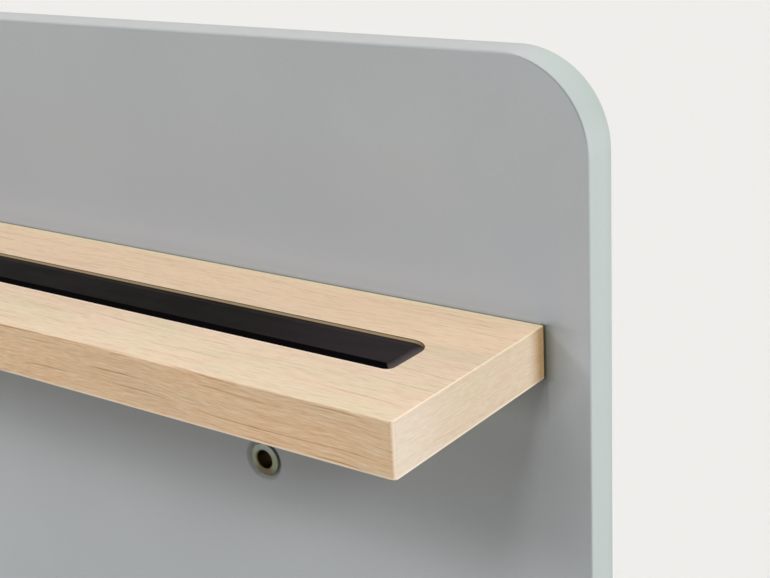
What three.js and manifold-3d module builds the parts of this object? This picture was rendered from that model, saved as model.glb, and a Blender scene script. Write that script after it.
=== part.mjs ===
// Figure display shelf: an oak board, inlaid with a black steel strip, on a painted wall panel.
// Millimetres. +X runs along the shelf, +Y points into the wall and +Z is up.
// The origin is the centre of the back panel's rear face.
import * as THREE from 'three';
import { mergeVertices } from 'three/addons/utils/BufferGeometryUtils.js';
import Module from 'manifold-3d';

// Back panel
const panelWidth = 600;
const panelHeight = 300;
const panelThickness = 16;
const panelCornerRadius = 34;
const panelArris = 0.8;

// Shelf board
const shelfThickness = 20;
const shelfDepth = 90;
const shelfSideMargin = 18; // from the panel's side edge to the shelf's end
const shelfTopDrop = 94; // from the panel's top edge to the shelf's top face
const shelfArris = 0.5;
const shelfCornerSoftening = 1.5; // added to the arris on the two front corners

// Steel strip let into the shelf's top face
const stripWidth = 25;
const stripThickness = 3;
const stripEndMargin = 24.4; // from the shelf's end to the strip's end
const stripBevelWidth = 4.5;
const stripBevelDrop = 0.8;
const stripBackCornerRadius = 8;
const stripFrontCornerRadius = 2.5;
const stripRecess = 0.2; // how far the strip's top lies below the wood
const stripClearance = 0.5; // between the strip's edge and the pocket's wall

// Adhesive tape under the strip
const tapeWidth = 19;
const tapeThickness = 0.5;
const tapeEndMargin = 6; // from the strip's end to the tape's end

// Countersunk screws from the panel's back into the shelf
const screwCount = 5;
const screwEndMargin = 62; // from the shelf's end to the outer screws
const screwThreadRadius = 2.25;
const screwCoreRadius = 1.6;
const screwHeadRadius = 4.4;
const screwHeadRecess = 0.5;
const screwShelfDepth = 29.2;
const screwPointLength = 4;
const screwThreadLength = 26;
const screwThreadPitch = 2.6;
const screwDriveLength = 4.6;
const screwDriveSlot = 0.9;
const screwDriveDepth = 1.8;

// Fluted dowels, one between each two screws
const dowelRadius = 4;
const dowelFluteDepth = 0.3;
const dowelFlutes = 12;
const dowelShelfDepth = 24.5;
const dowelPanelSkin = 5.5; // wood left between the dowel's hole and the panel's rear face
const dowelChamfer = 0.9;

// Flanged ferrules that line the holes for the wall screws
const ferruleSideMargin = 155; // from the panel's side edge to the bore's axis
const ferruleTopDrop = 179; // from the panel's top edge to the bore's axis
const ferruleBoreRadius = 4;
const ferruleWall = 1.5;
const ferruleFlangeLip = 1.8;
const ferruleFlangeThickness = 1.6;
const ferruleArris = 0.4;
const counterboreMargin = 1.5; // open ring between the flange and the counterbore's wall

// Shared clearance between pieces that seat on each other, and the fineness of round shapes
const seatGap = 0.3;
const cutOverrun = 1;
const panelCornerSteps = 8;
const smallCornerSteps = 3;
const stripCornerSteps = 5;
const arrisSteps = 2;
const chamferSteps = 1;
const holeSegments = 32;
const screwSegments = 14;

// Places that follow from the sizes above
const shelfLength = panelWidth - 2 * shelfSideMargin;
const shelfBottom = panelHeight / 2 - shelfTopDrop - shelfThickness;
const rowZ = shelfBottom + shelfThickness / 2;
const stripLength = shelfLength - 2 * stripEndMargin;
const pocketDepth = stripRecess + stripThickness + tapeThickness + 2 * seatGap;
const screwSpacing = (shelfLength - 2 * screwEndMargin) / (screwCount - 1);
const screwLength = panelThickness - screwHeadRecess + seatGap + screwShelfDepth;
const screwHeadHeight = screwHeadRadius - screwCoreRadius;
const dowelLength = panelThickness - dowelPanelSkin + dowelShelfDepth;
const ferruleX = panelWidth / 2 - ferruleSideMargin;
const ferruleZ = panelHeight / 2 - ferruleTopDrop;
const ferruleSleeveRadius = ferruleBoreRadius + ferruleWall;
const ferruleFlangeRadius = ferruleSleeveRadius + ferruleFlangeLip;
const screwXs = Array.from({ length: screwCount }, (_, i) => (i - (screwCount - 1) / 2) * screwSpacing);
const dowelXs = screwXs.slice(1).map((x) => x - screwSpacing / 2);

const wasm = await Module();
wasm.setup();

// Finishes
function finish(color, roughness, metalness = 0) {
  return new THREE.MeshStandardMaterial({ color, roughness, metalness });
}

const paint = () => finish(0xb3bab8, 0.55);
const oak = () => finish(0xdcc29c, 0.6);
const blackSteel = () => finish(0x1c1a1d, 0.35, 0.3);
const tapeFoam = () => finish(0x2b2b2b, 0.9);
const beech = () => finish(0xcfa77b, 0.7);
const zincPlate = () => finish(0xb9bcc0, 0.35, 1);
const nickel = () => finish(0x9a9a8c, 0.35, 1);

// Solid and mesh conversion
function toSolid(geometry) {
  const plain = geometry.clone();
  plain.deleteAttribute('normal');
  plain.deleteAttribute('uv');
  const merged = mergeVertices(plain);
  const vertProperties = new Float32Array(merged.attributes.position.array);
  const triVerts = new Uint32Array(merged.index.array);
  return new wasm.Manifold(new wasm.Mesh({ numProp: 3, vertProperties, triVerts }));
}

function cut(geometry, tools) {
  let solid = toSolid(geometry);
  for (const tool of tools) {
    solid = solid.subtract(toSolid(tool));
  }
  const mesh = solid.getMesh();
  const result = new THREE.BufferGeometry();
  result.setAttribute('position', new THREE.BufferAttribute(mesh.vertProperties, 3));
  result.setIndex(new THREE.BufferAttribute(mesh.triVerts, 1));
  return result;
}

// Shared shapes
// A rectangle with round corners. The two corners at low y can have a radius of their own.
function roundedRectangle(width, height, radius, lowRadius = radius) {
  const x = width / 2;
  const y = height / 2;
  const quarter = Math.PI / 2;
  const shape = new THREE.Shape();
  shape.absarc(x - radius, y - radius, radius, 0, quarter);
  shape.absarc(radius - x, y - radius, radius, quarter, 2 * quarter);
  shape.absarc(lowRadius - x, lowRadius - y, lowRadius, 2 * quarter, 3 * quarter);
  shape.absarc(x - lowRadius, lowRadius - y, lowRadius, 3 * quarter, 4 * quarter);
  return shape;
}

function plainPlate(shape, thickness, cornerSteps) {
  return new THREE.ExtrudeGeometry(shape, {
    depth: thickness,
    bevelEnabled: false,
    curveSegments: cornerSteps,
  });
}

// A plate from z = 0 up, whose top and bottom edges are eased inwards by inset over a height of drop
function easedPlate(shape, thickness, inset, drop, easeSteps, cornerSteps) {
  const geometry = new THREE.ExtrudeGeometry(shape, {
    depth: thickness - 2 * drop,
    bevelThickness: drop,
    bevelSize: inset,
    bevelOffset: -inset,
    bevelSegments: easeSteps,
    curveSegments: cornerSteps,
  });
  return geometry.translate(0, 0, drop);
}

// A round bar along Y, from yHigh down to yLow
function barAlongY(radius, yHigh, yLow, x, z) {
  const bar = new THREE.CylinderGeometry(radius, radius, yHigh - yLow, holeSegments);
  return bar.translate(x, (yHigh + yLow) / 2, z);
}

// A turned shape about the Y axis, from pairs of radius and y
function turned(profile, segments) {
  const points = profile.map(([radius, y]) => new THREE.Vector2(radius, y));
  return new THREE.LatheGeometry(points, segments);
}

// Back panel: a painted board with rounded corners, bored for the screws, dowels and ferrules
function screwCavity(x, z) {
  const mouth = screwHeadRadius + seatGap * Math.SQRT2;
  const bore = screwThreadRadius + seatGap;
  const profile = [
    [0, -panelThickness - cutOverrun],
    [bore, -panelThickness - cutOverrun],
    [bore, -screwHeadRecess - (mouth - bore)],
    [mouth, -screwHeadRecess],
    [mouth, cutOverrun],
    [0, cutOverrun],
  ];
  return turned(profile, holeSegments).translate(x, 0, z);
}

function ferruleCavity(x, z) {
  const sleeveBore = ferruleSleeveRadius + seatGap;
  const counterbore = ferruleFlangeRadius + counterboreMargin;
  const counterboreFloor = -panelThickness + ferruleFlangeThickness + seatGap;
  const profile = [
    [0, -panelThickness - cutOverrun],
    [counterbore, -panelThickness - cutOverrun],
    [counterbore, counterboreFloor],
    [sleeveBore, counterboreFloor],
    [sleeveBore, cutOverrun],
    [0, cutOverrun],
  ];
  return turned(profile, holeSegments).translate(x, 0, z);
}

function dowelHoleInPanel(x, z) {
  return barAlongY(dowelRadius + seatGap, -dowelPanelSkin, -panelThickness - cutOverrun, x, z);
}

function makeBackPanel() {
  const outline = roundedRectangle(panelWidth, panelHeight, panelCornerRadius);
  const board = easedPlate(outline, panelThickness, panelArris, panelArris, arrisSteps, panelCornerSteps);
  board.rotateX(Math.PI / 2);
  const tools = [
    ...screwXs.map((x) => screwCavity(x, rowZ)),
    ...dowelXs.map((x) => dowelHoleInPanel(x, rowZ)),
    ...[-ferruleX, ferruleX].map((x) => ferruleCavity(x, ferruleZ)),
  ];
  return new THREE.Mesh(cut(board, tools), paint());
}

// Shelf board: its own origin is the bottom edge of its back face, halfway along
function stripOutline(clearance) {
  return roundedRectangle(
    stripLength + 2 * clearance,
    stripWidth + 2 * clearance,
    stripBackCornerRadius + clearance,
    stripFrontCornerRadius + clearance,
  );
}

function stripPocket() {
  const pocket = plainPlate(stripOutline(stripClearance), pocketDepth + cutOverrun, stripCornerSteps);
  return pocket.translate(0, -shelfDepth / 2, shelfThickness - pocketDepth);
}

function holeInShelf(radius, depth, x) {
  return barAlongY(radius + seatGap, cutOverrun, -depth - seatGap, x, shelfThickness / 2);
}

// The board is made a little too deep, and its eased back edge is sawn off to leave a crisp one
function backSawCut(excess) {
  const saw = new THREE.BoxGeometry(shelfLength + cutOverrun, 2 * excess, shelfThickness + 2 * cutOverrun);
  return saw.translate(0, excess, shelfThickness / 2);
}

function makeShelfBoard() {
  const cornerRadius = shelfArris + shelfCornerSoftening;
  const outline = roundedRectangle(shelfLength, shelfDepth + cornerRadius, cornerRadius);
  const board = easedPlate(outline, shelfThickness, shelfArris, shelfArris, arrisSteps, smallCornerSteps);
  board.translate(0, (cornerRadius - shelfDepth) / 2, 0);
  const tools = [
    backSawCut(cornerRadius),
    stripPocket(),
    ...screwXs.map((x) => holeInShelf(screwThreadRadius, screwShelfDepth, x)),
    ...dowelXs.map((x) => holeInShelf(dowelRadius, dowelShelfDepth, x)),
  ];
  return new THREE.Mesh(cut(board, tools), oak());
}

// Steel strip: a bar whose top edges slope down to its sides and meet in mitres, and the tape under it.
// A wedge lies above the slope at the strip's +X end. It is turned and moved to cut the other three slopes.
function bevelWedge(length) {
  const past = 1 / 2; // how far the wedge goes on beyond the slope, as a share of the slope
  const section = new THREE.Shape([
    new THREE.Vector2(-(1 + past) * stripBevelWidth, past * stripBevelDrop),
    new THREE.Vector2(past * stripBevelWidth, -(1 + past) * stripBevelDrop),
    new THREE.Vector2(past * stripBevelWidth, past * stripBevelDrop),
  ]);
  const wedge = plainPlate(section, length, 1);
  return wedge.translate(0, 0, -length / 2).rotateX(Math.PI / 2);
}

function makeSteelStrip() {
  const bar = plainPlate(stripOutline(0), stripThickness, stripCornerSteps);
  const wedges = [0, 1, 2, 3].map((side) => {
    const [reach, length] = side % 2 === 0 ? [stripLength, stripWidth] : [stripWidth, stripLength];
    const wedge = bevelWedge(length + cutOverrun).translate(reach / 2, 0, stripThickness);
    return wedge.rotateZ((side * Math.PI) / 2);
  });
  return new THREE.Mesh(cut(bar, wedges), blackSteel());
}

function makeStripTape() {
  const tape = new THREE.BoxGeometry(stripLength - 2 * tapeEndMargin, tapeWidth, tapeThickness);
  return new THREE.Mesh(tape.translate(0, 0, tapeThickness / 2), tapeFoam());
}

// Shelf screw: its head's top is at y = 0 and its point is towards -Y
function screwProfile() {
  const pointStart = -screwLength + screwPointLength;
  const ridges = Math.floor(screwThreadLength / screwThreadPitch);
  const profile = [[0, -screwLength], [screwCoreRadius, pointStart]];
  for (let i = 0; i < ridges; i += 1) {
    const ridgeStart = pointStart + i * screwThreadPitch;
    profile.push([screwThreadRadius, ridgeStart + screwThreadPitch / 2]);
    profile.push([screwCoreRadius, ridgeStart + screwThreadPitch]);
  }
  profile.push([screwCoreRadius, -screwHeadHeight], [screwHeadRadius, 0], [0, 0]);
  return profile;
}

function makeShelfScrew() {
  const body = turned(screwProfile(), screwSegments);
  const slotHeight = 2 * screwDriveDepth;
  const slots = [
    new THREE.BoxGeometry(screwDriveLength, slotHeight, screwDriveSlot),
    new THREE.BoxGeometry(screwDriveSlot, slotHeight, screwDriveLength),
  ];
  return new THREE.Mesh(cut(body, slots), zincPlate());
}

// Dowel: its panel end is at y = 0 and it runs towards -Y
function makeDowel() {
  const points = [];
  for (let i = 0; i < 2 * dowelFlutes; i += 1) {
    const angle = (i * Math.PI) / dowelFlutes;
    const radius = i % 2 === 0 ? dowelRadius : dowelRadius - dowelFluteDepth;
    points.push(new THREE.Vector2(radius * Math.cos(angle), radius * Math.sin(angle)));
  }
  const section = new THREE.Shape(points);
  const dowel = easedPlate(section, dowelLength, dowelChamfer, dowelChamfer, chamferSteps, 1);
  return new THREE.Mesh(dowel.rotateX(Math.PI / 2), beech());
}

// Ferrule: the front of its flange is at y = 0 and its sleeve runs towards +Y
function makeFerrule() {
  const length = panelThickness - seatGap;
  const profile = [
    [ferruleBoreRadius, ferruleArris],
    [ferruleBoreRadius + ferruleArris, 0],
    [ferruleFlangeRadius - ferruleArris, 0],
    [ferruleFlangeRadius, ferruleArris],
    [ferruleFlangeRadius, ferruleFlangeThickness],
    [ferruleSleeveRadius, ferruleFlangeThickness],
    [ferruleSleeveRadius, length],
    [ferruleBoreRadius, length],
    [ferruleBoreRadius, ferruleArris],
  ];
  return new THREE.Mesh(turned(profile, holeSegments), nickel());
}

// Assembly
function place(parent, name, mesh, x, y, z) {
  mesh.name = name;
  mesh.position.set(x, y, z);
  parent.add(mesh);
}

function makeShelf() {
  const shelf = new THREE.Group();
  const pocketFloor = shelfThickness - pocketDepth;
  const stripBottom = shelfThickness - stripRecess - stripThickness;
  place(shelf, 'shelf_board', makeShelfBoard(), 0, 0, 0);
  place(shelf, 'steel_strip', makeSteelStrip(), 0, -shelfDepth / 2, stripBottom);
  place(shelf, 'strip_tape', makeStripTape(), 0, -shelfDepth / 2, pocketFloor + seatGap);
  shelf.position.set(0, -panelThickness - seatGap, shelfBottom);
  return shelf;
}

function makeFasteners() {
  const row = new THREE.Group();
  screwXs.forEach((x, i) => place(row, `shelf_screw_${i + 1}`, makeShelfScrew(), x, -screwHeadRecess, 0));
  dowelXs.forEach((x, i) => place(row, `dowel_${i + 1}`, makeDowel(), x, -dowelPanelSkin - seatGap, 0));
  row.position.set(0, 0, rowZ);
  return row;
}

function makeFerrules() {
  const pair = new THREE.Group();
  place(pair, 'wall_screw_ferrule_left', makeFerrule(), -ferruleX, -panelThickness, 0);
  place(pair, 'wall_screw_ferrule_right', makeFerrule(), ferruleX, -panelThickness, 0);
  pair.position.set(0, 0, ferruleZ);
  return pair;
}

const displayShelf = new THREE.Group();
place(displayShelf, 'back_panel', makeBackPanel(), 0, 0, 0);
displayShelf.add(makeShelf(), makeFasteners(), makeFerrules());

export default displayShelf;
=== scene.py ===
import math

import bmesh
import bpy
from mathutils import Matrix, Vector, geometry


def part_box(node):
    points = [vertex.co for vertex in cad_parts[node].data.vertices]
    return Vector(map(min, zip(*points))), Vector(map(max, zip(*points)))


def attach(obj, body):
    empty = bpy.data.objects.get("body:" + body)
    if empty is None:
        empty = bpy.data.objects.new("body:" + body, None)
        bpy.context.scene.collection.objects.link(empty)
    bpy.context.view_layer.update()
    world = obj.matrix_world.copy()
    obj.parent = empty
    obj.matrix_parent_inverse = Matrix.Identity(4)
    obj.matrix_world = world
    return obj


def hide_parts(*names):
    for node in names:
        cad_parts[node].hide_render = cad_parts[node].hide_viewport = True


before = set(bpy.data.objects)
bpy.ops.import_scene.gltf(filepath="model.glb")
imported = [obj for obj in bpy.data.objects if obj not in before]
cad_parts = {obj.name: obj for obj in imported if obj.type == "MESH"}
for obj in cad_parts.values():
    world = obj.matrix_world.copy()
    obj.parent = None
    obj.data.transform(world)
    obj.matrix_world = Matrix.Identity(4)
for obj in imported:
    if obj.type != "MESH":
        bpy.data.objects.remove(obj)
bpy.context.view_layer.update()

# The looks of the display shelf. Meshes and textures are worked out in millimetres, in the frame's own
# axes: X runs along the ledge, Y points into the wall and Z is up.
MM = 0.001
QUARTER = math.pi / 2

# Edges and small forms that the frame's boxes don't give
PANEL_CORNER = 34.0
PANEL_ARRIS = 0.8
LEDGE_ARRIS = 0.5
LEDGE_FRONT_CORNER = 2.0
LEDGE_BACK_CORNER = 0.4
POCKET_CLEARANCE = 0.5
POCKET_FLOOR_GAP = 0.3
POCKET_RIM = 0.3
STRIP_BACK_CORNER = 8.0
STRIP_FRONT_CORNER = 2.5
STRIP_BEVEL_WIDTH = 4.5
STRIP_BEVEL_DROP = 0.8
STRIP_BEVEL_BLEND = 0.35
STRIP_ARRIS = 0.15
MITRE_CORNER = 0.08
TAPE_CORNER = 0.4
TAPE_ARRIS = 0.1
BORE_RADIUS = 4.0
SLEEVE_RADIUS = 5.5
FLANGE_THICKNESS = 1.6
FLANGE_CROWN = 0.9
FLANGE_CROWN_POWER = 0.8
COUNTERBORE_MARGIN = 1.5
COUNTERBORE_RIM = 1.2
COUNTERBORE_FOOT = 0.35
SEAT_GAP = 0.3
SCREW_THREAD_RADIUS = 2.25
SCREW_CORE_RADIUS = 1.6
SCREW_PITCH = 2.6
SCREW_RIDGE_STEEPNESS = 4
SCREW_THREAD_LENGTH = 26.0
SCREW_POINT = 4.0
SCREW_POINT_SHOULDER = 0.85
SCREW_SHOULDER_WIDTH = 0.9
SCREW_TIP_RADIUS = 0.12
SCREW_HEAD_RIM = 0.25
DRIVE_LENGTH = 4.6
DRIVE_WIDTH = 0.9
DRIVE_DEPTH = 1.8
DRIVE_TAPER = 0.65
DOWEL_FLUTES = 12
DOWEL_FLUTE_DEPTH = 0.3
DOWEL_CHAMFER = 0.9

# Painted light and shade on the panel, as reaches from its back and sides and from its joint with the
# ledge.
# A pair says where a mark starts and where it is full.
WALL_SHADE = (5.0, 1.0)
CORNER_SHADE = (13.0, 3.0)
CORNER_SHADE_LINE = (PANEL_CORNER, 20.0)
BLUE_REACH = 55.0
BLUE_START = 4.0
BLUE_PAST_END = 12.0
DEEP_BLUE = (9.0, 1.0)
JOINT_SHADE_REACH = 5.0
JOINT_LINE_REACH = 0.9
JOINT_LINE_CORE = 0.3
JOINT_OVERLAP = 1.5
SHADOW_FILM_REACH = 16.0
CONTACT_REACH = 22.0
CONTACT_PAST_END = 1.8

# The oak's grain, and its marks as reaches from the sides of the ledge and of the pocket
GROWTH_RISE = 4.2
GROWTH_SPREAD = 9.0
GROWTH_DASH = 34
FINE_PER_GROWTH = 2.7
FINE_DASH = 13
GRAIN_SWAY = 6.0
GRAIN_DIP = 2.0
DIP_REACH = (24, -6)
LIPPING_STRETCH = 1.7
LIPPING_SHIFT_ALONG = 430.0
LIPPING_SHIFT_UP = 90.0
TRACK_SPACING = 900.0
BEHIND_STRIP_BLEND = 6
REAR_BAND = (7, 1)
PALE_FRONT_REACH = 40
END_SHADE_TINT = (9, 3)
POCKET_EDGE = (1.9, 1.1)
LOWER_EDGE = (1.3, 0.6)
BACK_EDGE_SHADE = (0.6, 0.2)
POCKET_TOP = (0.04, 0.12)
POCKET_RIM_BLEND = 0.15
POCKET_DARK_ENDS = (9, 1)

# Marks on the strip and the ferrules
STRIP_TOP_REFLECTION = (95, -10)
STRIP_REFLECTION_SWAY = 1.5
STRIP_REFLECTION_REACH = (4.5, -0.5)
STRIP_OUTER_EDGE = (1.4, 0.3)
BORE_RIM_SHADE = (1.1, 0.3)
BORE_SHADE = (0.35, 0.05)
TURNING_LINES = 42.0

# Fineness of round shapes
CORNER_STEPS = 24
SMALL_CORNER_STEPS = 10
EDGE_STEPS = 6
ROUND_STEPS = 72
THREAD_STEPS = 8
FLUTE_STEPS = 8

# Camera, placed from the ledge's right end, the panel's face and the ledge's underside
CAMERA_RIGHT_OF_LEDGE = 230.9
CAMERA_BEFORE_PANEL = 395.2
CAMERA_ABOVE_UNDERSIDE = 195.8
CAMERA_AZIMUTH = 37.09
CAMERA_ELEVATION = 19.30
CAMERA_ROLL = -3.42
CAMERA_LENS = 65.92
CAMERA_SENSOR = 36.0

# Stage
FLOOR_DROP = 1.2
FLOOR_SIZE = 80.0
BACKDROP_COLOUR = (238, 236, 234)
FLOOR_SEEN_COLOUR = (239, 238, 235)
FLOOR_BOUNCE_COLOUR = (170, 169, 168)

# Lamps, as azimuth, elevation, level, spread and colour
WHITE = (1.0, 1.0, 1.0)
FRONT_TINT = (1.02, 0.99, 1.0)
SIDE_TINT = (0.99, 1.0, 1.0)
LAMPS = {
    "front": (-8, 40, 0.114, 12, FRONT_TINT),
    "high front": (10, 46, 0.184, 12, FRONT_TINT),
    "left front": (-45, 32, 0.184, 12, FRONT_TINT),
    "front fill": (-25, 30, 0.158, 28, FRONT_TINT),
    "right front": (60, 32, 0.201, 12, WHITE),
    "right side": (111, 4, 0.91, 22, SIDE_TINT),
    "overhead": (0, 88, 0.188, 60, WHITE),
    "behind": (180, 50, 0.324, 40, WHITE),
}


def linear(red, green, blue):
    """Turns a colour in the 0 to 255 of a picture into the shader's own scale."""
    def channel(value):
        share = value / 255
        return share / 12.92 if share <= 0.04045 else ((share + 0.055) / 1.055) ** 2.4
    return (channel(red), channel(green), channel(blue), 1.0)


def node_box(name):
    """The lowest and highest corner of a CAD node, in millimetres."""
    low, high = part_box(name)
    return low / MM, high / MM


def span(low, high, steps):
    return [low + (high - low) * i / steps for i in range(steps + 1)]


class Form:
    """One closed mesh, put together from loops of points in millimetres."""

    def __init__(self):
        self.mesh = bmesh.new()

    def loop(self, points):
        return [self.mesh.verts.new(point) for point in points]

    def wall(self, first, second, left_open=None):
        """Joins two loops of as many points. One side may be left open, for a cap with holes in it."""
        for i, corner in enumerate(first):
            if i != left_open:
                j = (i + 1) % len(first)
                self.mesh.faces.new((corner, first[j], second[j], second[i]))

    def walls(self, loops, left_open=None):
        for first, second in zip(loops, loops[1:]):
            self.wall(first, second, left_open)

    def cap(self, outline, holes=()):
        """Fills a flat outline, less the holes in it."""
        loops = [outline, *holes]
        corners = [vertex for loop in loops for vertex in loop]
        for triangle in geometry.tessellate_polygon([[v.co for v in loop] for loop in loops]):
            self.mesh.faces.new([corners[i] for i in triangle])

    def piece(self, name, material, nodes, smooth_angle=40.0):
        """Makes the object, which stands for CAD nodes and takes one material slot."""
        bmesh.ops.recalc_face_normals(self.mesh, faces=self.mesh.faces)
        bmesh.ops.scale(self.mesh, vec=(MM, MM, MM), verts=self.mesh.verts)
        data = bpy.data.meshes.new(name)
        self.mesh.to_mesh(data)
        self.mesh.free()
        data.shade_smooth()
        data.set_sharp_from_angle(angle=math.radians(smooth_angle))
        data.materials.append(material)
        made = bpy.data.objects.new(name, data)
        bpy.context.scene.collection.objects.link(made)
        weights = made.modifiers.new("flat faces stay flat", "WEIGHTED_NORMAL")
        weights.keep_sharp = True
        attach(made, "root")
        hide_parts(*nodes)
        return made


# Loops
def rounded_corners(low_u, high_u, low_v, high_v, inset, radii, steps):
    """The points (u, v) of a rectangle with round corners, inset all round, from high u and high v on."""
    sides = [(high_u, -1, high_v, -1), (low_u, 1, high_v, -1), (low_u, 1, low_v, 1), (high_u, -1, low_v, 1)]
    points = []
    for corner, ((u, inwards_u, v, inwards_v), radius) in enumerate(zip(sides, radii)):
        reach = max(radius - inset, MITRE_CORNER)
        centre_u = u + inwards_u * (inset + reach)
        centre_v = v + inwards_v * (inset + reach)
        for angle in span(corner * QUARTER, (corner + 1) * QUARTER, steps):
            points.append((centre_u + reach * math.cos(angle), centre_v + reach * math.sin(angle)))
    return points


def upright_loop(low, high, inset, radius, y):
    """A rounded rectangle facing Y."""
    corners = rounded_corners(low.x, high.x, low.z, high.z, inset, [radius] * 4, CORNER_STEPS)
    return [(u, y, v) for u, v in corners]


def level_loop(low, high, inset, radii, z):
    """A rounded rectangle facing Z, with a radius for each corner."""
    corners = rounded_corners(low.x, high.x, low.y, high.y, inset, radii, SMALL_CORNER_STEPS)
    return [(u, v, z) for u, v in corners]


def round_loop(centre, radius, y, steps=ROUND_STEPS):
    """A circle facing Y."""
    points = []
    for i in range(steps):
        angle = 4 * QUARTER * i / steps
        points.append((centre.x + radius * math.cos(angle), y, centre.z + radius * math.sin(angle)))
    return points


def eased(radius, steps=EDGE_STEPS):
    """Pairs of inset and drop along a quarter round, from the flat face to the side."""
    angles = span(0, QUARTER, steps)
    return [(radius * (1 - math.sin(angle)), radius * (1 - math.cos(angle))) for angle in angles]


def bore(form, centre, profile):
    """The walls of a round hole, from pairs of radius and y. Gives its first and last loop."""
    loops = [form.loop(round_loop(centre, radius, y)) for radius, y in profile]
    form.walls(loops)
    return loops[0], loops[-1]


def middle(name):
    low, high = node_box(name)
    return (low + high) / 2


# Procedural materials
class Finish:
    """A node material. Plain values sit on the shader's own sockets."""

    def __init__(self, name, values):
        self.data = bpy.data.materials.new(name)
        self.data.use_nodes = True
        self.tree = self.data.node_tree
        self.tree.nodes.clear()
        self.shader = self.add("ShaderNodeBsdfPrincipled")
        for socket, value in values.items():
            self.shader.inputs[socket].default_value = value
        output = self.add("ShaderNodeOutputMaterial")
        self.tree.links.new(self.shader.outputs["BSDF"], output.inputs["Surface"])
        coordinates = self.add("ShaderNodeTexCoord").outputs["Object"]
        self.place = self.vector("SCALE", coordinates, Scale=1 / MM)

    def add(self, kind, settings=None, inputs=None):
        made = self.tree.nodes.new(kind)
        for name, value in (settings or {}).items():
            setattr(made, name, value)
        for name, value in (inputs or {}).items():
            self.feed(made.inputs[name], value)
        return made

    def feed(self, socket, value):
        if isinstance(value, bpy.types.NodeSocket):
            self.tree.links.new(value, socket)
        else:
            socket.default_value = value

    def math(self, operation, *values, clamp=False):
        inputs = dict(enumerate(values))
        return self.add("ShaderNodeMath", {"operation": operation, "use_clamp": clamp}, inputs).outputs[0]

    def plus(self, first, second):
        return self.math("ADD", first, second)

    def minus(self, first, second):
        return self.math("SUBTRACT", first, second)

    def times(self, first, second):
        return self.math("MULTIPLY", first, second)

    def size(self, value):
        return self.math("ABSOLUTE", value)

    def at_least_0(self, value):
        return self.math("MAXIMUM", value, 0.0)

    def vector(self, operation, *values, **named):
        inputs = {**dict(enumerate(values)), **named}
        return self.add("ShaderNodeVectorMath", {"operation": operation}, inputs).outputs[0]

    def parts(self, vector):
        return self.add("ShaderNodeSeparateXYZ", inputs={0: vector}).outputs

    def join(self, x, y, z):
        return self.add("ShaderNodeCombineXYZ", inputs={0: x, 1: y, 2: z}).outputs[0]

    def ramp(self, value, low, high, start=0.0, end=1.0):
        """Goes smoothly from start to end while value goes from low to high."""
        settings = {"interpolation_type": "SMOOTHSTEP"}
        inputs = {"Value": value, "From Min": low, "From Max": high, "To Min": start, "To Max": end}
        return self.add("ShaderNodeMapRange", settings, inputs).outputs[0]

    def near_side(self, at, side, reaches, share=1.0):
        """Rises to share while a place nears a high side, between two reaches from it."""
        start, full = reaches
        return self.ramp(at, side - start, side - full, 0.0, share)

    def noise(self, vector, sizes, detail=2.0, roughness=0.5, distortion=0.0):
        """Noise whose blots have about these sizes in millimetres along the three axes."""
        scaled = self.vector("MULTIPLY", vector, tuple(1 / size for size in sizes))
        inputs = {"Vector": scaled, "Scale": 1.0, "Detail": detail, "Roughness": roughness}
        inputs["Distortion"] = distortion
        return self.add("ShaderNodeTexNoise", inputs=inputs).outputs["Fac"]

    def cells(self, vector, size):
        inputs = {"Vector": vector, "Scale": 1 / size}
        return self.add("ShaderNodeTexVoronoi", inputs=inputs).outputs["Distance"]

    def chance(self, whole):
        """Three random numbers that belong to a whole number."""
        made = self.add("ShaderNodeTexWhiteNoise", {"noise_dimensions": "1D"}, {"W": whole})
        return self.parts(made.outputs["Color"])

    def normal(self):
        return self.parts(self.add("ShaderNodeNewGeometry").outputs["Normal"])

    def blend(self, share, first, second):
        inputs = {0: share, 6: first, 7: second}
        return self.add("ShaderNodeMix", {"data_type": "RGBA"}, inputs).outputs[2]

    def choose(self, share, first, second):
        inputs = {0: share, 4: first, 5: second}
        return self.add("ShaderNodeMix", {"data_type": "VECTOR"}, inputs).outputs[1]

    def colour(self, value):
        self.feed(self.shader.inputs["Base Color"], value)

    def roughness(self, value):
        self.feed(self.shader.inputs["Roughness"], value)

    def relief(self, height, depth):
        """Bumps up to this depth in millimetres."""
        inputs = {"Strength": 1.0, "Distance": depth * MM, "Height": height}
        bump = self.add("ShaderNodeBump", inputs=inputs)
        self.feed(self.shader.inputs["Normal"], bump.outputs["Normal"])


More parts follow.
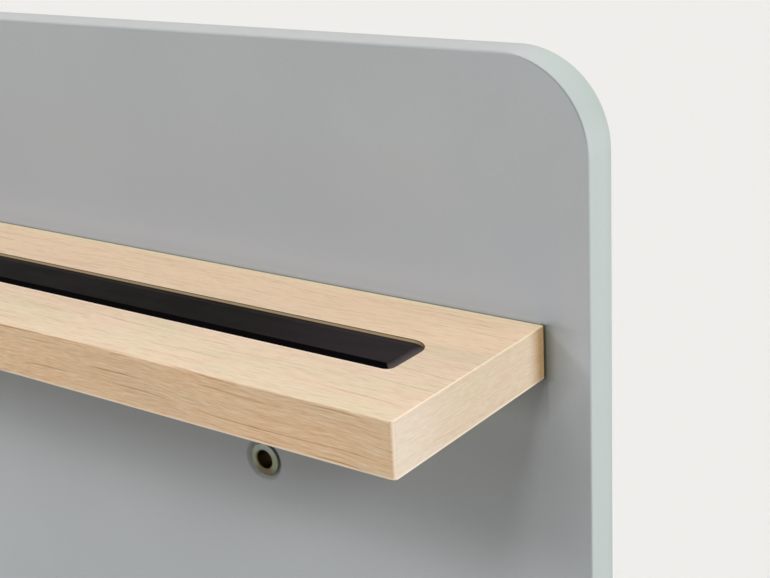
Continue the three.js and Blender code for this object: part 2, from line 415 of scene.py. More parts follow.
def satin_paint():
    """Sprayed paint, a little greener on the panel's edges, with painted shade round the joint."""
    finish = Finish("satin paint", {"Specular IOR Level": 0.4})
    nx, ny, nz = (finish.size(share) for share in finish.normal())
    edge = finish.ramp(ny, 0.85, 0.35)
    cloud = finish.noise(finish.place, (70, 70, 70), detail=3)
    speck = finish.noise(finish.place, (1.6, 1.6, 1.6), detail=2)
    tone = finish.plus(finish.times(cloud, 0.7), finish.times(speck, 0.3))
    tone = finish.ramp(tone, 0.35, 0.65)
    face_paint = finish.blend(tone, linear(178, 184, 186), linear(182, 188, 189))
    edge_paint = finish.blend(tone, linear(181, 189, 187), linear(185, 193, 190))

    # The top edge is greyer than the sides; round corners and the wall side are painted darker as shade
    x, y, z = finish.parts(finish.place)
    panel_low, panel_high = node_box("back_panel")
    edge_paint = finish.blend(finish.ramp(nz, 0.6, 1.0), edge_paint, linear(186, 189, 188))
    turn = finish.ramp(finish.times(nx, nz), 0.05, 0.45)
    edge_paint = finish.blend(turn, edge_paint, linear(174, 182, 179))
    wall_shade = finish.near_side(y, panel_high.y, WALL_SHADE, 0.3)
    corner_shade = finish.near_side(y, panel_high.y, CORNER_SHADE, 0.35)
    wall_shade = finish.plus(wall_shade, finish.times(turn, corner_shade))
    edge_paint = finish.blend(wall_shade, edge_paint, linear(164, 176, 168))

    # A painted shade line runs along the face's arris round each corner
    line = finish.times(finish.ramp(ny, 0.999, 0.96), finish.ramp(ny, 0.5, 0.75))
    far_out = finish.near_side(finish.size(x), panel_high.x, CORNER_SHADE_LINE)
    high_up = finish.near_side(finish.size(z), panel_high.z, CORNER_SHADE_LINE)
    corner_shade_line = finish.times(line, finish.times(far_out, high_up))

    # The front is painted a little bluer above the ledge, against the oak's warm light, and darker next to
    # it as shade
    low, high = node_box("shelf_board")
    beyond = finish.at_least_0(finish.minus(finish.size(x), high.x))
    over = finish.minus(z, high.z)
    near = finish.times(finish.ramp(over, BLUE_REACH, 0.0), finish.ramp(over, -BLUE_START, BLUE_START))
    near = finish.times(near, finish.ramp(beyond, BLUE_PAST_END, 0.0))
    on_front = finish.math("LESS_THAN", y, (panel_low.y + panel_high.y) / 2)
    near = finish.times(near, on_front)
    blue = finish.blend(finish.ramp(over, *DEEP_BLUE), linear(175, 183, 191), linear(168, 176, 184))
    face_paint = finish.blend(near, face_paint, blue)
    paint = finish.blend(edge, face_paint, edge_paint)
    paint = finish.blend(finish.times(corner_shade_line, 0.6), paint, linear(112, 118, 116))

    # Painted shade round the ledge, a painted shade line in the joint and a thin painted shadow further out
    above = finish.at_least_0(over)
    below = finish.at_least_0(finish.minus(low.z, z))
    gap = finish.plus(finish.plus(beyond, finish.times(above, 3.0)), below)
    past = finish.at_least_0(finish.minus(finish.size(x), high.x - JOINT_OVERLAP))
    past = finish.plus(past, below)
    joint_shade = finish.ramp(gap, JOINT_SHADE_REACH, 0.0)
    joint_shade = finish.times(joint_shade, finish.ramp(past, 0.0, 0.5, 0.1, 0.36))
    line = finish.ramp(gap, JOINT_LINE_REACH, JOINT_LINE_CORE)
    line = finish.times(line, finish.ramp(past, 0.0, 0.3, 0.3, 0.46))
    shadow_film_gap = finish.plus(finish.times(above, 3.0), finish.times(below, 0.8))
    shadow_film = finish.ramp(finish.plus(beyond, shadow_film_gap), SHADOW_FILM_REACH, 0.0, 0.0, 0.3)
    fade = finish.plus(finish.times(above, 2.0), 1.0)
    shadow_film = finish.times(shadow_film, finish.ramp(beyond, 0.0, fade))
    joint_shade = finish.plus(finish.plus(joint_shade, line), shadow_film)
    paint = finish.blend(finish.times(joint_shade, on_front), paint, linear(64, 68, 24))

    # The shade right under the ledge
    contact = finish.ramp(below, CONTACT_REACH, 0.0, 0.0, 0.5)
    contact = finish.times(contact, finish.ramp(beyond, CONTACT_PAST_END, 0.0))
    contact = finish.times(contact, finish.ramp(below, 0.0, 0.5))
    finish.colour(finish.blend(finish.times(contact, on_front), paint, linear(70, 60, 56)))

    peel = finish.noise(finish.place, (1.1, 1.1, 1.1), detail=3, roughness=0.6)
    fibre = finish.noise(finish.place, (0.5, 2.5, 0.5), detail=3, roughness=0.7)
    finish.relief(finish.plus(finish.times(peel, 0.6), finish.times(fibre, edge)), 0.02)
    finish.roughness(finish.plus(finish.ramp(cloud, 0.3, 0.7, 0.44, 0.52), finish.times(edge, 0.08)))
    return finish.data


def broken_lines(finish, layers, along, half_width, length):
    """Thin lines, one in each layer of the wood at a place of its own, that come and go along the grain."""
    layer = finish.math("FLOOR", layers)
    place, strength, start = finish.chance(layer)
    centre = finish.plus(finish.times(place, 0.6), 0.2)
    aside = finish.size(finish.minus(finish.math("FRACT", layers), centre))
    line = finish.ramp(aside, half_width, finish.times(half_width, 0.25))
    track = finish.join(along, finish.times(start, TRACK_SPACING), 0.0)
    shown = finish.ramp(finish.noise(track, (length, 1, 1), detail=1), 0.47, 0.62)
    strength = finish.plus(finish.times(strength, 0.7), 0.3)
    return finish.times(finish.times(line, shown), strength)


def oak_marks(finish, grain, reach, end, front):
    """The dark marks and the pale flecks as shares of the wood, then its dashes and its grooves."""
    high = node_box("shelf_board")[1]

    # The grain wanders a little from its line, and turns down towards the ledge's ends
    along, across, up = finish.parts(grain)
    sway = finish.times(finish.minus(finish.noise(grain, (110, 40, 40), detail=1), 0.5), GRAIN_SWAY)
    dip = finish.times(finish.near_side(reach, high.x, DIP_REACH, GRAIN_DIP), front)
    across = finish.plus(across, sway)
    up = finish.plus(finish.plus(up, sway), dip)
    bent = finish.join(along, across, up)

    # Growth lines, with finer ones between them. The top cuts the layers at a low angle, so they lie
    # further apart there.
    layers = finish.math("DIVIDE", up, GROWTH_RISE)
    layers = finish.plus(layers, finish.math("DIVIDE", across, GROWTH_SPREAD))
    growth = broken_lines(finish, layers, along, finish.plus(0.04, finish.times(front, 0.045)), GROWTH_DASH)
    layers = finish.times(layers, FINE_PER_GROWTH)
    fine = broken_lines(finish, layers, along, finish.plus(0.09, finish.times(front, 0.11)), FINE_DASH)

    # Pores, as dark and pale dashes along the grain, and soft streaks under them
    dash = finish.noise(bent, (7, 0.42, 0.42), detail=2, roughness=0.6)
    pores = finish.ramp(dash, 0.5, 0.7)
    flecks = finish.ramp(dash, 0.5, 0.3)
    streak = finish.ramp(finish.noise(bent, (45, 2.6, 2.6), detail=2), 0.46, 0.7)
    dark = finish.times(growth, finish.plus(0.45, finish.times(front, 0.5)))
    for marks, share in ((fine, 0.2), (pores, 0.2), (streak, 0.1)):
        dark = finish.plus(dark, finish.times(marks, share))
    weight = finish.minus(1.0, finish.times(end, 0.4))
    dark = finish.math("MULTIPLY", dark, weight, clamp=True)
    pale = finish.times(flecks, finish.times(weight, 0.35))
    return dark, pale, dash, finish.plus(pores, growth)


def oak_tones(finish, grain, y, end, front):
    """The wood under its marks: warmer and paler patches, painted sheen on top and ends, ends paler at the
    front.
    """
    low, high = node_box("shelf_board")
    strip_back = node_box("steel_strip")[1].y
    patch = finish.ramp(finish.noise(grain, (50, 14, 14), detail=3, roughness=0.6), 0.36, 0.64)
    top_wood = finish.blend(patch, linear(240, 214, 186), linear(234, 216, 183))
    behind_strip = finish.near_side(y, strip_back, (BEHIND_STRIP_BLEND, -BEHIND_STRIP_BLEND), 0.8)
    top_wood = finish.blend(behind_strip, top_wood, linear(250, 219, 185))
    rear = finish.near_side(y, high.y, REAR_BAND, 0.8)
    top_wood = finish.blend(rear, top_wood, linear(245, 226, 188))
    # The front is painted darker than the top and the ends, which carry painted sheen
    front_wood = finish.blend(patch, linear(228, 194, 154), linear(222, 194, 157))
    end_wood = finish.blend(patch, linear(213, 192, 168), linear(211, 193, 166))
    # The ends grow paler towards the front
    paler_front = finish.ramp(y, low.y + PALE_FRONT_REACH, low.y, 0.0, 0.6)
    end_wood = finish.blend(paler_front, end_wood, linear(228, 216, 200))
    # Painted shade tint: the back of each end turns warm brown where the panel shades it
    end_shade_tint = finish.near_side(y, high.y, END_SHADE_TINT, 0.85)
    end_wood = finish.blend(end_shade_tint, end_wood, linear(244, 199, 141))
    return finish.blend(end, finish.blend(front, top_wood, front_wood), end_wood)


def oak():
    """Solid oak whose grain runs along the ledge, with lippings on both ends whose grain runs across it."""
    finish = Finish("oak", {"Specular IOR Level": 0.25})
    low, high = node_box("shelf_board")
    strip_low, strip_high = node_box("steel_strip")
    x, y, z = finish.parts(finish.place)
    reach = finish.size(x)
    facing = finish.normal()
    nx, nz = finish.size(facing[0]), finish.size(facing[2])
    end = finish.math("GREATER_THAN", nx, 0.7)
    front = finish.ramp(facing[1], -0.35, -0.75)
    turned = finish.plus(finish.times(y, LIPPING_STRETCH), LIPPING_SHIFT_ALONG)
    lipping = finish.join(turned, finish.plus(z, LIPPING_SHIFT_UP), finish.times(x, 0.3))
    grain = finish.choose(end, finish.place, lipping)
    dark, pale, dash, grooves = oak_marks(finish, grain, reach, end, front)
    wood = oak_tones(finish, grain, y, end, front)
    wood = finish.blend(pale, wood, linear(248, 232, 208))
    wood = finish.blend(dark, wood, linear(160, 112, 52))

    # The long edges, the pocket's near edge and the corners are painted pale as highlights, where they
    # catch light
    edge_highlight = finish.times(finish.ramp(nz, 0.12, 0.3), finish.ramp(nz, 0.985, 0.85))
    reach_out = POCKET_CLEARANCE + POCKET_RIM
    beside = finish.math("LESS_THAN", reach, strip_high.x + reach_out)
    near_edge = finish.near_side(y, strip_low.y, POCKET_EDGE)
    near_edge = finish.times(near_edge, finish.math("LESS_THAN", y, strip_low.y))
    near_edge = finish.times(near_edge, beside)
    edge_highlight = finish.plus(finish.times(edge_highlight, 0.2), finish.times(near_edge, 0.7))
    start, full = LOWER_EDGE
    lower_edge = finish.times(finish.ramp(z, low.z + start, low.z + full), finish.ramp(nz, 0.9, 0.6))
    edge_highlight = finish.plus(edge_highlight, finish.times(lower_edge, 0.5))
    wood = finish.blend(edge_highlight, wood, linear(252, 236, 216))
    corner = finish.times(finish.ramp(nx, 0.5, 0.68), finish.ramp(nx, 0.98, 0.88))
    corner = finish.times(corner, finish.ramp(nz, 0.7, 0.4))
    wood = finish.blend(finish.times(corner, 0.5), wood, linear(255, 232, 208))

    # The back edges of the ends are painted dark, as shade in their joint with the panel
    back_edge_shade = finish.times(finish.near_side(y, high.y, BACK_EDGE_SHADE), finish.ramp(nz, 0.6, 0.3))
    wood = finish.blend(back_edge_shade, wood, linear(70, 55, 32))

    # The routed pocket has darker walls, darkest in a line under the rim and towards its ends
    behind = finish.math("LESS_THAN", y, strip_high.y + reach_out)
    before = finish.math("GREATER_THAN", y, strip_low.y - reach_out)
    pocket = finish.times(beside, finish.times(behind, before))
    under = finish.near_side(z, high.z, POCKET_TOP)
    under = finish.times(under, finish.math("GREATER_THAN", z, (low.z + high.z) / 2))
    rim = finish.ramp(z, high.z - POCKET_RIM - POCKET_RIM_BLEND, high.z - POCKET_RIM)
    wall = finish.blend(rim, linear(192, 170, 134), linear(92, 66, 36))
    darker_ends = finish.near_side(reach, strip_high.x, POCKET_DARK_ENDS, 0.8)
    wall = finish.blend(darker_ends, wall, linear(112, 66, 36))
    finish.colour(finish.blend(finish.times(pocket, under), wood, wall))

    finish.relief(finish.minus(1.0, grooves), 0.012)
    finish.roughness(finish.ramp(dash, 0.3, 0.7, 0.5, 0.62))
    return finish.data


def black_lacquer():
    """Dull black with painted reflections, grey on the slopes at the ends. The front slope is matt and
    painted dark.
    """
    finish = Finish("black lacquer", {"Specular IOR Level": 0.025})
    low, high = node_box("steel_strip")
    place = finish.parts(finish.place)
    reach, y = finish.size(place[0]), place[1]
    facing = finish.normal()
    end = finish.ramp(finish.size(facing[0]), 0.02, 0.15)
    side = finish.ramp(facing[1], -0.02, -0.15)
    cloud = finish.noise(finish.place, (24, 9, 9), detail=3)
    reflection_wobble = finish.noise(finish.place, (5, 5, 5), detail=3, roughness=0.6)

    # Painted reflection: the top grows paler towards each end
    top = finish.blend(finish.near_side(reach, high.x, STRIP_TOP_REFLECTION), linear(12, 7, 5), linear(45, 38, 41))
    top = finish.blend(finish.times(cloud, 0.25), top, linear(20, 14, 16))
    # Painted reflection: the slopes at the ends turn grey
    rise = finish.plus(reach, finish.times(reflection_wobble, STRIP_REFLECTION_SWAY))
    end_reflection = finish.near_side(rise, high.x, STRIP_REFLECTION_REACH)
    grey = finish.blend(end_reflection, linear(30, 26, 28), linear(96, 90, 88))
    # The slope along the front is painted nearly black as shade, with a reddish-brown line along its outer
    # edge
    from_middle = finish.size(finish.minus(y, (low.y + high.y) / 2))
    from_side = finish.minus((high.y - low.y) / 2, from_middle)
    matt = finish.blend(finish.ramp(from_side, *STRIP_OUTER_EDGE), linear(3, 2, 3), linear(40, 22, 16))
    finish.colour(finish.blend(side, finish.blend(end, top, grey), matt))

    grit = finish.noise(finish.place, (0.45, 0.45, 0.45), detail=2)
    scuff = finish.noise(finish.place, (30, 0.6, 0.6), detail=2)
    finish.relief(grit, 0.008)
    sheen = finish.plus(finish.ramp(cloud, 0.3, 0.7, 0.34, 0.42), finish.times(scuff, 0.06))
    finish.roughness(finish.math("MAXIMUM", sheen, finish.times(side, 0.95)))
    return finish.data


def dull_nickel():
    """Green-cast plating, painted grey above the bore as light and brown below as shade. The bore is
    painted dark.
    """
    finish = Finish("dull nickel", {"Metallic": 1.0})
    x, _, z = finish.parts(finish.place)
    centre = middle("wall_screw_ferrule_right")
    side = finish.minus(finish.size(x), centre.x)
    rise = finish.minus(z, centre.z)
    radius = finish.plus(finish.math("POWER", side, 2.0), finish.math("POWER", rise, 2.0))
    radius = finish.math("SQRT", radius)
    cloud = finish.noise(finish.place, (3, 3, 3), detail=3)
    plate = finish.blend(cloud, linear(116, 120, 100), linear(132, 136, 114))
    steep = finish.math("DIVIDE", rise, radius)
    # Painted light above the bore and painted shade, in brown, below it
    plate = finish.blend(finish.ramp(steep, 0.1, 0.9), plate, linear(134, 142, 134))
    lower_shade = finish.times(finish.ramp(steep, -0.3, -0.95), 0.85)
    plate = finish.blend(lower_shade, plate, linear(92, 82, 62))
    # Painted shade: darker brown round the mouth of the bore, and dark inside it
    bore_rim_shade, shade = (
        finish.ramp(radius, BORE_RADIUS + start, BORE_RADIUS + full)
        for start, full in (BORE_RIM_SHADE, BORE_SHADE)
    )
    plate = finish.blend(finish.times(bore_rim_shade, 0.6), plate, linear(76, 64, 44))
    finish.colour(finish.blend(shade, plate, linear(72, 58, 26)))
    turning = finish.math("SINE", finish.times(radius, TURNING_LINES))
    finish.relief(finish.plus(finish.times(turning, 0.3), cloud), 0.006)
    finish.roughness(finish.ramp(cloud, 0.3, 0.7, 0.4, 0.55))
    return finish.data


def zinc_plate():
    finish = Finish("zinc plate", {"Metallic": 1.0})
    spangle = finish.noise(finish.place, (1.4, 1.4, 1.4), detail=3, distortion=0.6)
    finish.colour(finish.blend(spangle, linear(186, 190, 196), linear(208, 208, 204)))
    finish.relief(finish.noise(finish.place, (0.3, 0.3, 0.3), detail=2), 0.006)
    finish.roughness(finish.ramp(spangle, 0.3, 0.7, 0.28, 0.42))
    return finish.data


def beech():
    finish = Finish("beech", {"Specular IOR Level": 0.3})
    fleck = finish.ramp(finish.noise(finish.place, (0.6, 3.5, 0.6), detail=2), 0.52, 0.66)
    cloud = finish.noise(finish.place, (3, 20, 3), detail=2)
    wood = finish.blend(cloud, linear(214, 178, 140), linear(202, 162, 124))
    finish.colour(finish.blend(fleck, wood, linear(168, 122, 84)))
    finish.relief(finish.minus(1.0, fleck), 0.03)
    finish.roughness(finish.ramp(cloud, 0.3, 0.7, 0.6, 0.72))
    return finish.data


def black_foam():
    finish = Finish("black foam", {"Specular IOR Level": 0.2})
    cell = finish.cells(finish.place, 0.35)
    finish.colour(finish.blend(cell, linear(38, 38, 38), linear(58, 58, 57)))
    finish.relief(cell, 0.06)
    finish.roughness(finish.ramp(cell, 0.1, 0.7, 0.82, 0.95))
    return finish.data


# Pieces
def screw_names():
    return sorted(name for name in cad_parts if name.startswith("shelf_screw_"))


def dowel_names():
    return sorted(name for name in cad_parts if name.startswith("dowel_"))


def ferrule_names():
    return sorted(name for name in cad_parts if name.startswith("wall_screw_ferrule_"))


def make_panel():
    """The painted board, bored for the screws, dowels and ferrules."""
    form = Form()
    low, high = node_box("back_panel")
    outline = []
    for inset, drop in eased(PANEL_ARRIS):
        outline.append(form.loop(upright_loop(low, high, inset, PANEL_CORNER, low.y + drop)))
    for inset, drop in reversed(eased(PANEL_ARRIS)):
        outline.append(form.loop(upright_loop(low, high, inset, PANEL_CORNER, high.y - drop)))
    form.walls(outline)

    front_holes, back_holes = [], []
    for name in ferrule_names():
        ferrule_low, ferrule_high = node_box(name)
        flange = (ferrule_high.x - ferrule_low.x) / 2
        rim = flange + COUNTERBORE_MARGIN + COUNTERBORE_RIM
        inwards = rim - flange - COUNTERBORE_FOOT
        floor = low.y + FLANGE_THICKNESS + SEAT_GAP
        profile = []
        for share in span(0, 1, 2 * EDGE_STEPS):
            fall = share * share * (3 - 2 * share)
            profile.append((rim - inwards * share, low.y + (floor - low.y) * fall))
        profile += [(SLEEVE_RADIUS + SEAT_GAP, floor), (SLEEVE_RADIUS + SEAT_GAP, high.y)]
        front, back = bore(form, middle(name), profile)
        front_holes.append(front)
        back_holes.append(back)
    for name in screw_names():
        screw_low, screw_high = node_box(name)
        mouth = (screw_high.x - screw_low.x) / 2 + SEAT_GAP * math.sqrt(2)
        shank = SCREW_THREAD_RADIUS + SEAT_GAP
        seat = screw_high.y
        profile = [(shank, low.y), (shank, seat - (mouth - shank)), (mouth, seat), (mouth, high.y)]
        front, back = bore(form, middle(name), profile)
        front_holes.append(front)
        back_holes.append(back)
    for name in dowel_names():
        dowel_low, dowel_high = node_box(name)
        radius = (dowel_high.z - dowel_low.z) / 2 + SEAT_GAP
        front, floor = bore(form, middle(name), [(radius, low.y), (radius, dowel_high.y + SEAT_GAP)])
        front_holes.append(front)
        form.cap(floor)
    form.cap(outline[0], front_holes)
    form.cap(outline[-1], back_holes)
    form.piece("painted_panel", satin_paint(), ["back_panel"])


def make_ledge():
    """The oak board, with a pocket in its top and blind holes in its back."""
    form = Form()
    low, high = node_box("shelf_board")
    corners = [LEDGE_BACK_CORNER] * 2 + [LEDGE_FRONT_CORNER] * 2
    arris = eased(LEDGE_ARRIS)
    under = [form.loop(level_loop(low, high, inset, corners, low.z + drop)) for inset, drop in arris]
    over = [form.loop(level_loop(low, high, inset, corners, high.z - drop)) for inset, drop in arris]
    form.walls(under)
    form.walls(over)

    # The back is a cap with holes, so the wall is left open between the two back corners
    back = SMALL_CORNER_STEPS
    form.wall(under[-1], over[-1], left_open=back)
    holes = []
    for name in screw_names() + dowel_names():
        node_low, node_high = node_box(name)
        thread = name in screw_names()
        radius = (SCREW_THREAD_RADIUS if thread else (node_high.z - node_low.z) / 2) + SEAT_GAP
        mouth, floor = bore(form, middle(name), [(radius, high.y), (radius, node_low.y - SEAT_GAP)])
        holes.append(mouth)
        form.cap(floor)
    form.cap([under[-1][back], under[-1][back + 1], over[-1][back + 1], over[-1][back]], holes)
    form.cap(under[0])

    strip_low, strip_high = node_box("steel_strip")
    tape_low = node_box("strip_tape")[0]
    margin = Vector((POCKET_CLEARANCE, POCKET_CLEARANCE, 0))
    pocket_low, pocket_high = strip_low - margin, strip_high + margin
    corners = [radius + POCKET_CLEARANCE for radius in strip_corners()]
    pocket = []
    for inset, drop in eased(POCKET_RIM):
        pocket.append(form.loop(level_loop(pocket_low, pocket_high, -inset, corners, high.z - drop)))
    floor = tape_low.z - POCKET_FLOOR_GAP
    pocket.append(form.loop(level_loop(pocket_low, pocket_high, 0, corners, floor)))
    form.walls(pocket)
    form.cap(pocket[-1])
    form.cap(over[0], [pocket[0]])
    form.piece("oak_ledge", oak(), ["shelf_board"])


def strip_corners():
    return [STRIP_BACK_CORNER] * 2 + [STRIP_FRONT_CORNER] * 2


def slope_drop(inset):
    """How far the strip's top has dropped at a distance in from its outline."""
    past = STRIP_BEVEL_WIDTH - inset
    if abs(past) < STRIP_BEVEL_BLEND:
        past = (past + STRIP_BEVEL_BLEND) ** 2 / (4 * STRIP_BEVEL_BLEND)
    return STRIP_BEVEL_DROP * max(past, 0) / STRIP_BEVEL_WIDTH


def make_strip():
    """The steel bar, whose top slopes down to its sides. The slopes meet in mitres at the front corners."""
    form = Form()
    low, high = node_box("steel_strip")
    corners = strip_corners()
    slope_start = STRIP_BEVEL_WIDTH - STRIP_BEVEL_BLEND
    insets = span(STRIP_BEVEL_WIDTH + STRIP_BEVEL_BLEND, slope_start, EDGE_STEPS)
    insets += span(slope_start, STRIP_ARRIS, EDGE_STEPS)[1:]
    profile = [(inset, 0) for inset in insets]
    profile += eased(STRIP_ARRIS)[1:]
    loops = []
    for inset, drop in profile:
        loops.append(form.loop(level_loop(low, high, inset, corners, high.z - drop - slope_drop(inset))))
    for inset, drop in reversed(eased(STRIP_ARRIS)):
        loops.append(form.loop(level_loop(low, high, inset, corners, low.z + drop)))
    form.walls(loops)
    form.cap(loops[0])
    form.cap(loops[-1])
    form.piece("black_strip", black_lacquer(), ["steel_strip"], smooth_angle=20.0)


def make_tape():
    form = Form()
    low, high = node_box("strip_tape")
    corners = [TAPE_CORNER] * 4
    loops = []
    for inset, drop in eased(TAPE_ARRIS):
        loops.append(form.loop(level_loop(low, high, inset, corners, high.z - drop)))
    for inset, drop in reversed(eased(TAPE_ARRIS)):
        loops.append(form.loop(level_loop(low, high, inset, corners, low.z + drop)))
    form.walls(loops)
    form.cap(loops[0])
    form.cap(loops[-1])
    form.piece("foam_tape", black_foam(), ["strip_tape"])


def make_ferrule(name, material):
    """A flanged sleeve, turned about its bore."""
    form = Form()
    low, high = node_box(name)
    flange = (high.x - low.x) / 2
    crest, reach = (BORE_RADIUS + flange) / 2, (flange - BORE_RADIUS) / 2
    profile = []
    for angle in span(0, 2 * QUARTER, 4 * EDGE_STEPS):
        drop = FLANGE_CROWN * (1 - max(0.0, math.sin(angle)) ** FLANGE_CROWN_POWER)
        profile.append((crest - reach * math.cos(angle), low.y + drop))
    profile += [
        (flange, low.y + FLANGE_THICKNESS),
        (SLEEVE_RADIUS, low.y + FLANGE_THICKNESS),
        (SLEEVE_RADIUS, high.y),
        (BORE_RADIUS, high.y),
    ]
    loops = [form.loop(round_loop(middle(name), radius, y)) for radius, y in profile]
    form.walls([*loops, loops[0]])
    form.piece(name.replace("wall_screw", "bore"), material, [name])


def cross_loop(centre, length, width, y):
    """The outline of a cross recess."""
    far, near = length / 2, width / 2
    arm = [(far, -near), (far, near), (near, near)]
    points = []
    for turn in range(4):
        c, s = round(math.cos(turn * QUARTER)), round(math.sin(turn * QUARTER))
        points += [(centre.x + u * c - v * s, y, centre.z + u * s + v * c) for u, v in arm]
    return points


def make_screw(name, material):
    """A countersunk screw with a cross recess and a thread that winds round its core."""
    form = Form()
    low, high = node_box(name)
    centre = middle(name)
    head = (high.x - low.x) / 2
    mouth, foot = (
        form.loop(cross_loop(centre, DRIVE_LENGTH * share, DRIVE_WIDTH * share, high.y - depth))
        for share, depth in ((1.0, 0.0), (DRIVE_TAPER, DRIVE_DEPTH))
    )
    form.wall(mouth, foot)
    form.cap(foot)

    loops = [form.loop(round_loop(centre, head - SCREW_HEAD_RIM / 2, high.y))]
    loops.append(form.loop(round_loop(centre, head, high.y - SCREW_HEAD_RIM / 2)))
    loops.append(form.loop(round_loop(centre, head, high.y - SCREW_HEAD_RIM)))
    cone_foot = high.y - SCREW_HEAD_RIM - (head - SCREW_CORE_RADIUS)
    loops.append(form.loop(round_loop(centre, SCREW_CORE_RADIUS, cone_foot)))
    thread_start = low.y + SCREW_POINT + SCREW_THREAD_LENGTH
    height = SCREW_THREAD_RADIUS - SCREW_CORE_RADIUS
    turns = SCREW_THREAD_LENGTH / SCREW_PITCH
    for y in span(thread_start, low.y + SCREW_POINT, round(turns * THREAD_STEPS)):
        points = []
        for i, (u, _, v) in enumerate(round_loop(centre, 1.0, y)):
            phase = ((thread_start - y) / SCREW_PITCH + i / ROUND_STEPS) % 1
            ridge = max(0.0, 1 - abs(phase - 0.5) * SCREW_RIDGE_STEEPNESS)
            fade = min(1.0, (thread_start - y) / SCREW_PITCH)
            radius = SCREW_CORE_RADIUS + height * ridge * fade
            points.append((centre.x + (u - centre.x) * radius, y, centre.z + (v - centre.z) * radius))
        loops.append(form.loop(points))
    shoulder = SCREW_CORE_RADIUS * SCREW_SHOULDER_WIDTH
    loops.append(form.loop(round_loop(centre, shoulder, low.y + SCREW_POINT * SCREW_POINT_SHOULDER)))
    loops.append(form.loop(round_loop(centre, SCREW_TIP_RADIUS, low.y)))
    form.walls(loops)
    form.cap(loops[0], [mouth])
    form.cap(loops[-1])
    form.piece(name.replace("shelf_screw", "ledge_screw"), material, [name])


def make_dowel(name, material):
    """A fluted dowel with chamfered ends."""
    form = Form()
    low, high = node_box(name)
    centre = middle(name)
    radius = (high.z - low.z) / 2
    stations = [(DOWEL_CHAMFER, low.y), (0, low.y + DOWEL_CHAMFER)]
    stations += [(0, high.y - DOWEL_CHAMFER), (DOWEL_CHAMFER, high.y)]
    steps = DOWEL_FLUTES * FLUTE_STEPS
    loops = []
    for inset, y in stations:
        points = []
        for i in range(steps):
            angle = 4 * QUARTER * i / steps
            flute = DOWEL_FLUTE_DEPTH * max(0.0, math.cos(angle * DOWEL_FLUTES + math.pi)) ** 2
            reach = radius - inset - flute
            points.append((centre.x + reach * math.cos(angle), y, centre.z + reach * math.sin(angle)))
        loops.append(form.loop(points))
    form.walls(loops)
    form.cap(loops[0])
    form.cap(loops[-1])
    form.piece(f"beech_{name}", material, [name])


# Stage
def backdrop_rays(tree):
    """1 for the rays that should see the pale backdrop, and 0 for those that carry light."""
    path = tree.nodes.new("ShaderNodeLightPath")
    total = path.outputs["Is Camera Ray"]
    for name in ("Is Glossy Ray", "Is Transmission Ray"):
        add = tree.nodes.new("ShaderNodeMath")
        add.use_clamp = True
        tree.links.new(total, add.inputs[0])
        tree.links.new(path.outputs[name], add.inputs[1])
        total = add.outputs[0]
    return total


def make_world():
    """A backdrop that the camera and gloss see, and that sheds no light."""
    world = bpy.data.worlds.new("studio")
    bpy.context.scene.world = world
    world.use_nodes = True
    tree = world.node_tree
    tree.nodes.clear()
    backdrop = tree.nodes.new("ShaderNodeBackground")
    backdrop.inputs["Color"].default_value = linear(*BACKDROP_COLOUR)
    output = tree.nodes.new("ShaderNodeOutputWorld")
    tree.links.new(backdrop_rays(tree), backdrop.inputs["Strength"])
    tree.links.new(backdrop.outputs[0], output.inputs["Surface"])


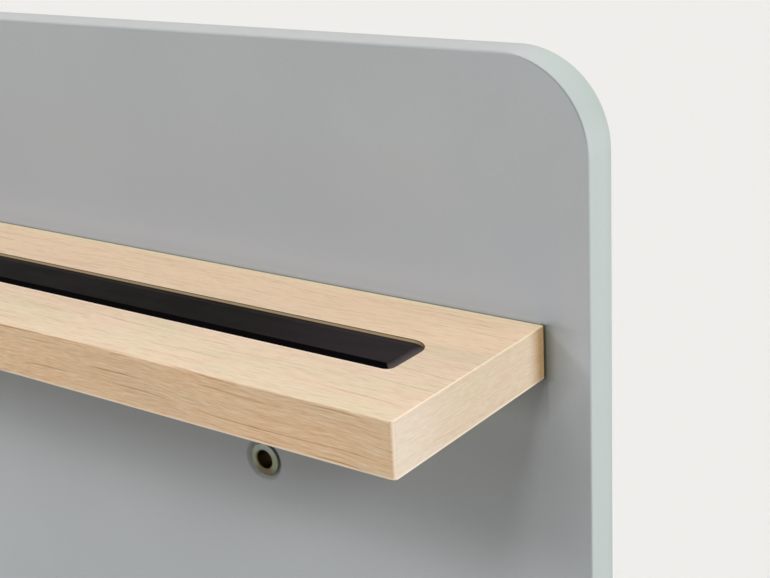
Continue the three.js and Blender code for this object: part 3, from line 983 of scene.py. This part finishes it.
def make_floor():
    """A wide pale floor, well below the object. It throws less light up than the camera sees."""
    half = FLOOR_SIZE / 2
    data = bpy.data.meshes.new("floor")
    corners = [(-half, -half), (half, -half), (half, half), (-half, half)]
    data.from_pydata([(x, y, -FLOOR_DROP) for x, y in corners], [], [(0, 1, 2, 3)])
    floor = bpy.data.objects.new("floor", data)
    bpy.context.scene.collection.objects.link(floor)
    material = bpy.data.materials.new("floor")
    material.use_nodes = True
    tree = material.node_tree
    shader = tree.nodes["Principled BSDF"]
    shader.inputs["Roughness"].default_value = 1.0
    shader.inputs["Specular IOR Level"].default_value = 0.0
    mix = tree.nodes.new("ShaderNodeMix")
    mix.data_type = "RGBA"
    mix.inputs[6].default_value = linear(*FLOOR_BOUNCE_COLOUR)
    mix.inputs[7].default_value = linear(*FLOOR_SEEN_COLOUR)
    tree.links.new(backdrop_rays(tree), mix.inputs[0])
    tree.links.new(mix.outputs[2], shader.inputs["Base Color"])
    data.materials.append(material)


def sun(name, azimuth, elevation, level, spread, colour):
    """A broad lamp. Azimuth 0 shines from the front and 90 from the right. A white face square to the lamp
    renders at its level."""
    data = bpy.data.lights.new(name, "SUN")
    data.energy = level * math.pi
    data.angle = math.radians(spread)
    data.color = colour
    lamp = bpy.data.objects.new(name, data)
    bpy.context.scene.collection.objects.link(lamp)
    a, e = math.radians(azimuth), math.radians(elevation)
    towards = Vector((math.sin(a) * math.cos(e), -math.cos(a) * math.cos(e), math.sin(e)))
    lamp.rotation_mode = "QUATERNION"
    lamp.rotation_quaternion = (-towards).to_track_quat("-Z", "Y")


def make_camera():
    ledge_low, ledge_high = node_box("shelf_board")
    panel_low = node_box("back_panel")[0]
    data = bpy.data.cameras.new("camera")
    data.sensor_width = CAMERA_SENSOR
    data.lens = CAMERA_LENS
    camera = bpy.data.objects.new("camera", data)
    bpy.context.scene.collection.objects.link(camera)
    spot = Vector((
        ledge_high.x + CAMERA_RIGHT_OF_LEDGE,
        panel_low.y - CAMERA_BEFORE_PANEL,
        ledge_low.z + CAMERA_ABOVE_UNDERSIDE,
    ))
    turn = Matrix.Rotation(math.radians(CAMERA_AZIMUTH), 4, "Z")
    tilt = Matrix.Rotation(math.radians(90 - CAMERA_ELEVATION), 4, "X")
    roll = Matrix.Rotation(math.radians(CAMERA_ROLL), 4, "Z")
    camera.matrix_world = Matrix.Translation(spot * MM) @ turn @ tilt @ roll
    bpy.context.scene.camera = camera


make_panel()
make_ledge()
make_strip()
make_tape()
nickel = dull_nickel()
for ferrule in ferrule_names():
    make_ferrule(ferrule, nickel)
zinc = zinc_plate()
for screw in screw_names():
    make_screw(screw, zinc)
dowel_wood = beech()
for dowel in dowel_names():
    make_dowel(dowel, dowel_wood)

make_world()
make_floor()
for lamp, values in LAMPS.items():
    sun(lamp, *values)
make_camera()
bpy.context.scene.view_settings.view_transform = "Standard"
